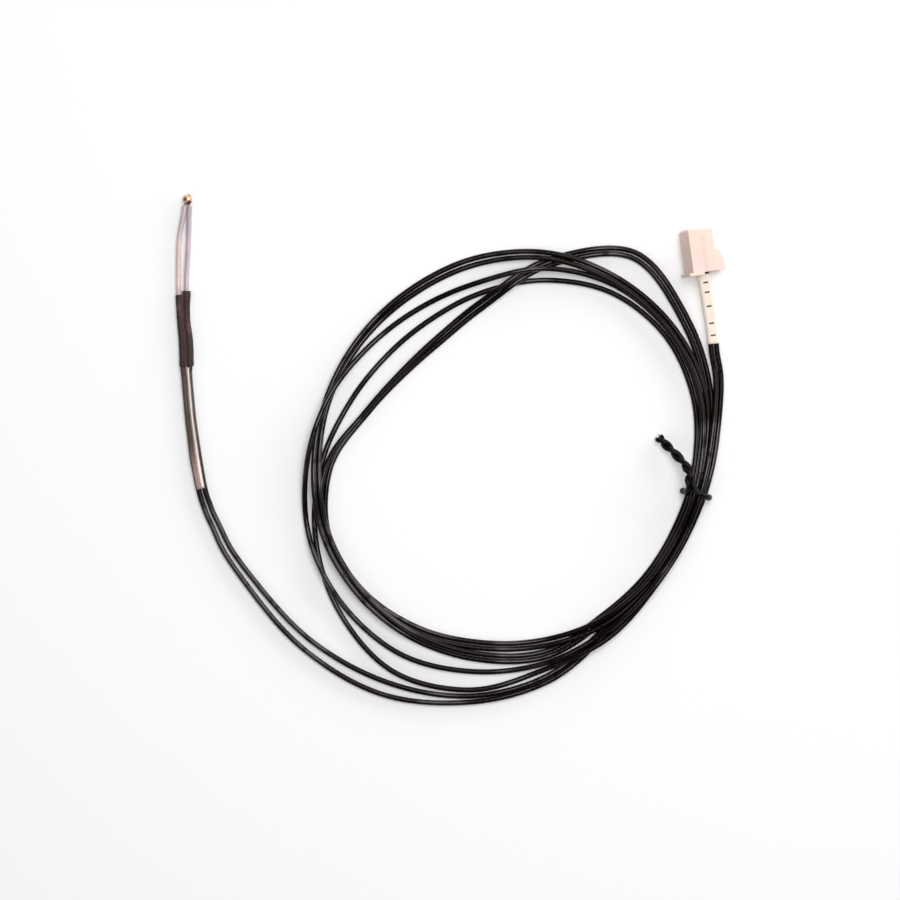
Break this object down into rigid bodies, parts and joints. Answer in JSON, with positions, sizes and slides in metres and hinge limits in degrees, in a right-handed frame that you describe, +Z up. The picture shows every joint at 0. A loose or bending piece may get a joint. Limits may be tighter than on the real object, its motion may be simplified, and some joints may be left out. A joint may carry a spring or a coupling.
{
  "type": "bead thermistor",
  "caption": "Glass bead temperature sensor with clear sleeves and dark shrink tubes on a coiled two-wire black lead, held by a twist tie, with a marker sleeve and a cream crimp housing.",
  "frame": {"origin": "middle of the sensing head's box, on the surface that the head, the coil and the housing lie on", "axes": "+Y along the sensing head towards the glass bead, +X from the head towards the coil and the housing, +Z up"},
  "size_m": [0.1145, 0.1066, 0.0069],
  "materials": {
    "bead_glass": "glossy copper brown",
    "chip_ceramic": "dark sintered ceramic",
    "bright_lead": "tinned wire",
    "clear_sleeve": "milky translucent",
    "shrink_tube": "matte dark brown",
    "smoke_sleeve": "clear, over black wires",
    "wire_black": "satin black insulation",
    "housing_nylon": "cream moulded nylon",
    "marker_sleeve": "satin cream",
    "tinned_terminal": "bright tin",
    "tie_black": "glossy black coating"
  },
  "bodies": {
    "root": {"glass_bead": "bead_glass", "thermistor_chip": "chip_ceramic", "lead_a": "bright_lead", "lead_b": "bright_lead", "sleeve_a": "clear_sleeve", "sleeve_b": "clear_sleeve", "splice_a": "bright_lead", "splice_b": "bright_lead", "shrink_a": "shrink_tube", "shrink_b": "shrink_tube", "outer_sleeve": "smoke_sleeve", "wire_a": "wire_black", "wire_b": "wire_black", "marker_sleeve": "marker_sleeve", "connector_housing": "housing_nylon", "terminal_a": "tinned_terminal", "terminal_b": "tinned_terminal", "twist_tie": "tie_black"}
  },
  "joints": []
}
